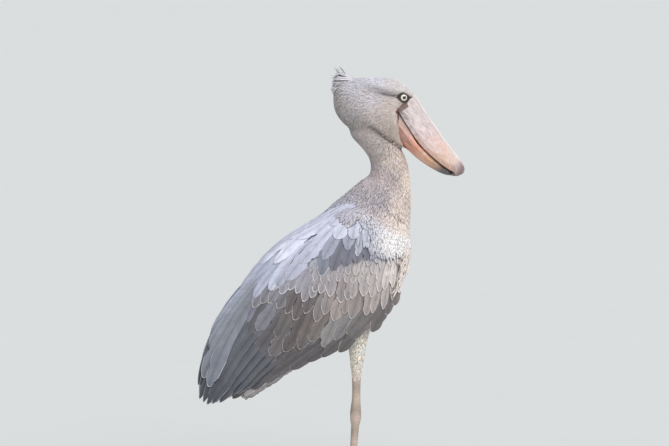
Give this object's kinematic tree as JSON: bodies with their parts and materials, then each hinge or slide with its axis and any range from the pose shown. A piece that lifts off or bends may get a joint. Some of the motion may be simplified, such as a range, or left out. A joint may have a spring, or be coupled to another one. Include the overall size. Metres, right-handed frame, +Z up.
{
  "type": "shoebill",
  "caption": "Life-size shoebill standing upright with folded wings, its heavy hooked bill held down towards the chest.",
  "frame": {"origin": "middle of the model's bounding box, on the floor under the toes", "axes": "+X towards where the bird faces, +Y to its left side, +Z up"},
  "size_m": [0.6932, 0.292, 1.1443],
  "materials": {
    "plumage": "matte",
    "wing_feathers": "matte",
    "tail_feathers": "matte",
    "bill": "satin",
    "eye": "gloss",
    "leg_skin": "matte",
    "claw": "satin"
  },
  "bodies": {
    "root": {"head": "plumage", "neck": "plumage", "trunk": "plumage", "bill_upper": "bill", "bill_lower": "bill", "tail": "tail_feathers", "wing_r": "wing_feathers", "tibia_r": "plumage", "tarsus_r": "leg_skin", "eye_r": "eye", "toe_hallux_r": "leg_skin", "claw_hallux_r": "claw", "toe_inner_r": "leg_skin", "claw_inner_r": "claw", "toe_middle_r": "leg_skin", "claw_middle_r": "claw", "toe_outer_r": "leg_skin", "claw_outer_r": "claw", "wing_l": "wing_feathers", "tibia_l": "plumage", "tarsus_l": "leg_skin", "eye_l": "eye", "toe_hallux_l": "leg_skin", "claw_hallux_l": "claw", "toe_inner_l": "leg_skin", "claw_inner_l": "claw", "toe_middle_l": "leg_skin", "claw_middle_l": "claw", "toe_outer_l": "leg_skin", "claw_outer_l": "claw"}
  },
  "joints": []
}
